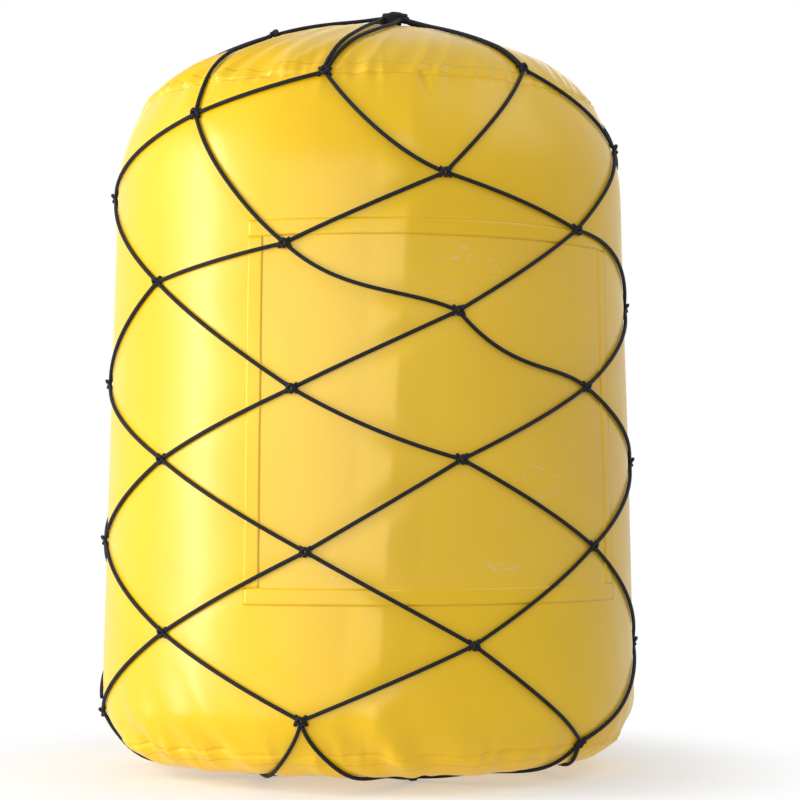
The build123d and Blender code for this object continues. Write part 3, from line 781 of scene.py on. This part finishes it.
for row in range(lastRow + 1):
    if row < lastRow:
        bm = bmesh.new()
        trim = netForm["knotRadius"] * netForm["trimShare"]
        for path in strandPaths[row]:
            sweepTube(bm, trimPath(path, trim, trim), netForm["cordRadius"])
        dress(newPiece(f"netStrands{row}", bm, cordCover), [f"net_strands_{row}"])
    bm = bmesh.new()
    for column in range(row % 2, netForm["halfColumns"], 2):
        knotTubes(bm, row, column)
    dress(newPiece(f"netKnots{row}", bm, cordCover), [f"net_knots_{row}"])

for name, node, paths in (("netTopLegs", "net_top_legs", topLegPaths),
                          ("netBottomLegs", "net_bottom_legs", bottomLegPaths)):
    bm = bmesh.new()
    for path in paths:
        sweepTube(bm, path, netForm["cordRadius"])
    dress(newPiece(name, bm, cordCover), [node])

print("net: lashings and eye")
lashingForm = {"coils": (1.0, 0.62, 0.24), "pitch": 1.55, "wobble": 0.25, "crossings": (0.4, 1.5, 2.6)}


def lashingTubes(bm, centre, axis, turns, radius):
    # turns of cord that draw in towards the top, and crossing turns over the bundle
    size = netForm["cordRadius"]
    side = axis.orthogonal().normalized()
    across = axis.cross(side)
    for share in lashingForm["coils"]:
        coil = []
        for i in range(turns * 20 + 1):
            turn = i / 20
            angle = turn * 2 * math.pi
            reach = share * (radius - size) * (1 - 0.02 * turn ** 2) + 0.0008 * math.sin(angle * 1.7)
            coil.append(centre + (side * math.cos(angle) + across * math.sin(angle)) * reach
                        + axis * (size * (lashingForm["pitch"] * turn
                                          + lashingForm["wobble"] * math.sin(angle + 0.6))))
        sweepTube(bm, coil, size)
    top = size * lashingForm["pitch"] * turns
    for angle in lashingForm["crossings"]:
        heading = side * math.cos(angle) + across * math.sin(angle)
        beside = axis.cross(heading)
        route = [centre + heading * (radius - size) * x + beside * size * y + axis * z for x, y, z in (
            (-0.85, 0.6, 0.0), (-0.80, 0.5, top * 0.6), (-0.35, -0.4, top + size * 0.1),
            (0.35, 0.4, top + size * 0.1), (0.80, -0.5, top * 0.6), (0.85, -0.6, 0.0))]
        sweepTube(bm, smoothLine(route), size)


for name, node, centre, axis, radius in (
        ("topLashing", "top_lashing", gatherPoint, skinNormal(gatherForm["azimuth"], gatherDrop),
         gatherForm["lashing"] * gatherForm["knobShare"]),
        ("bottomLashing", "bottom_lashing", Vector((0, 0, netForm["cordRadius"])), Vector((0, 0, 1)),
         gatherForm["lashing"])):
    bm = bmesh.new()
    lashingTubes(bm, centre, axis, gatherForm["turns"], radius)
    dress(newPiece(name, bm, cordCover), [node])

eyeForm = {"cordRing": 0.0193, "spread": 0.0066}


def mooringBecket():
    low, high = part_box("mooring_thimble")
    centre = Vector(((low[0] + high[0]) / 2, (low[1] + high[1]) / 2, (low[2] + high[2]) / 2))
    heading = Vector((centre.x, centre.y, 0)).normalized()
    across = Vector((-heading.y, heading.x, 0))
    route = []
    for angle in range(-116, 117, 12):
        route.append(centre + (heading * cosDeg(angle) + across * sinDeg(angle)) * eyeForm["cordRing"])
    inner = heading * gatherForm["lashing"] * 0.9 + Vector((0, 0, centre.z))
    half = across * eyeForm["spread"] / 2
    bm = bmesh.new()
    sweepTube(bm, smoothLine([inner - half] + route + [inner + half], 3), netForm["cordRadius"])
    return newPiece("mooringBecket", bm, cordCover)


dress(mooringBecket(), ["mooring_becket"])

for node, material in (("valve_flange", valveBlack), ("valve_body", valveBlack), ("valve_cap", valveBlack),
                       ("mooring_thimble", thimbleGrey)):
    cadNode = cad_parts[node]
    cadNode.data.materials.clear()
    cadNode.data.materials.append(material)

print("stage, light and camera")
stageForm = {
    "floorReach": 1.6, "floorColour": (0.62, 0.62, 0.62, 1), "floorGlow": 0.38,
    "fade": (0.36, 0.80),     # distances between which the floor fades out
    "world": 0.38,
}


def paleFloor():
    bm = bmesh.new()
    bmesh.ops.create_grid(bm, x_segments=1, y_segments=1, size=stageForm["floorReach"])
    material, nodes, links, shader = nodeMaterial("paleFloor")
    shader.inputs["Base Color"].default_value = stageForm["floorColour"]
    shader.inputs["Roughness"].default_value = 0.9
    shader.inputs["Specular IOR Level"].default_value = 0.0
    shader.inputs["Emission Color"].default_value = (1, 1, 1, 1)
    shader.inputs["Emission Strength"].default_value = stageForm["floorGlow"]
    place = addNode(nodes, "ShaderNodeTexCoord")
    distance = addNode(nodes, "ShaderNodeVectorMath", operation="LENGTH")
    fade = addNode(nodes, "ShaderNodeMapRange", interpolation_type="SMOOTHSTEP")
    fade.inputs["From Min"].default_value = stageForm["fade"][0]
    fade.inputs["From Max"].default_value = stageForm["fade"][1]
    clear = addNode(nodes, "ShaderNodeBsdfTransparent")
    mix = addNode(nodes, "ShaderNodeMixShader")
    links.new(place.outputs["Object"], distance.inputs[0])
    links.new(distance.outputs["Value"], fade.inputs["Value"])
    links.new(fade.outputs["Result"], mix.inputs["Fac"])
    links.new(shader.outputs["BSDF"], mix.inputs[1])
    links.new(clear.outputs["BSDF"], mix.inputs[2])
    links.new(mix.outputs["Shader"], nodes["Material Output"].inputs["Surface"])
    return newPiece("floor", bm, material, smooth=False)


paleFloor()


def softRoom():
    # soft light on the object, and white where the room is seen or mirrored
    world = bpy.data.worlds.new("softRoom")
    bpy.context.scene.world = world
    world.use_nodes = True
    nodes, links = world.node_tree.nodes, world.node_tree.links
    roomLight = nodes["Background"]
    roomLight.inputs["Color"].default_value = (1, 1, 1, 1)
    roomLight.inputs["Strength"].default_value = stageForm["world"]
    whiteBack = addNode(nodes, "ShaderNodeBackground", Color=(1, 1, 1, 1), Strength=1.0)
    rays = addNode(nodes, "ShaderNodeLightPath")
    seen = addNode(nodes, "ShaderNodeMath", operation="MAXIMUM")
    seenOrMirrored = addNode(nodes, "ShaderNodeMath", operation="MAXIMUM")
    links.new(rays.outputs["Is Camera Ray"], seen.inputs[0])
    links.new(rays.outputs["Is Transmission Ray"], seen.inputs[1])
    links.new(seen.outputs[0], seenOrMirrored.inputs[0])
    links.new(rays.outputs["Is Glossy Ray"], seenOrMirrored.inputs[1])
    mix = addNode(nodes, "ShaderNodeMixShader")
    links.new(seenOrMirrored.outputs[0], mix.inputs["Fac"])
    links.new(roomLight.outputs["Background"], mix.inputs[1])
    links.new(whiteBack.outputs["Background"], mix.inputs[2])
    links.new(mix.outputs["Shader"], nodes["World Output"].inputs["Surface"])


softRoom()

cameraForm = {"azimuth": -18.2, "distance": 3.6, "height": 0.428, "tilt": 2.59, "yaw": 0.80, "lens": 99.54}

# Columns: name, azimuth from the camera, distance, height, power, width, height of the lamp
lampForm = [
    ("frontLeftPanel", -18.0, 4.6, 0.95, 88.0, 4.7, 2.2),
    ("leftPanel", -73.0, 3.0, 1.0, 40.0, 2.6, 2.4),
    ("leftStrip", -73.0, 2.8, 1.0, 42.0, 0.5, 2.4),
    ("rightFill", 70.0, 2.6, 3.0, 20.0, 2.0, 2.0),
    ("backFill", 180.0, 3.6, 1.8, 26.0, 3.0, 2.0),
]


def aim(obj, target):
    obj.rotation_euler = (target - obj.location).to_track_quat("-Z", "Y").to_euler()


for name, azimuth, distance, height, power, width, tall in lampForm:
    lamp = bpy.data.lights.new(name, "AREA")
    lamp.shape, lamp.size, lamp.size_y, lamp.energy = "RECTANGLE", width, tall, power
    lampObject = bpy.data.objects.new(name, lamp)
    lampObject.location = outward(cameraForm["azimuth"] + azimuth) * distance + Vector((0, 0, height))
    aim(lampObject, Vector((0, 0, 0.6)))
    bpy.context.scene.collection.objects.link(lampObject)

camera = bpy.data.cameras.new("photoCamera")
camera.lens, camera.sensor_width = cameraForm["lens"], 36.0
cameraObject = bpy.data.objects.new("photoCamera", camera)
cameraObject.location = outward(cameraForm["azimuth"]) * cameraForm["distance"]
cameraObject.location.z = cameraForm["height"]
cameraObject.rotation_euler = (
    math.radians(90 + cameraForm["tilt"]), 0, math.radians(cameraForm["azimuth"] - cameraForm["yaw"]))
bpy.context.scene.collection.objects.link(cameraObject)
bpy.context.scene.camera = cameraObject
bpy.context.scene.view_settings.view_transform = "Standard"

print("done")
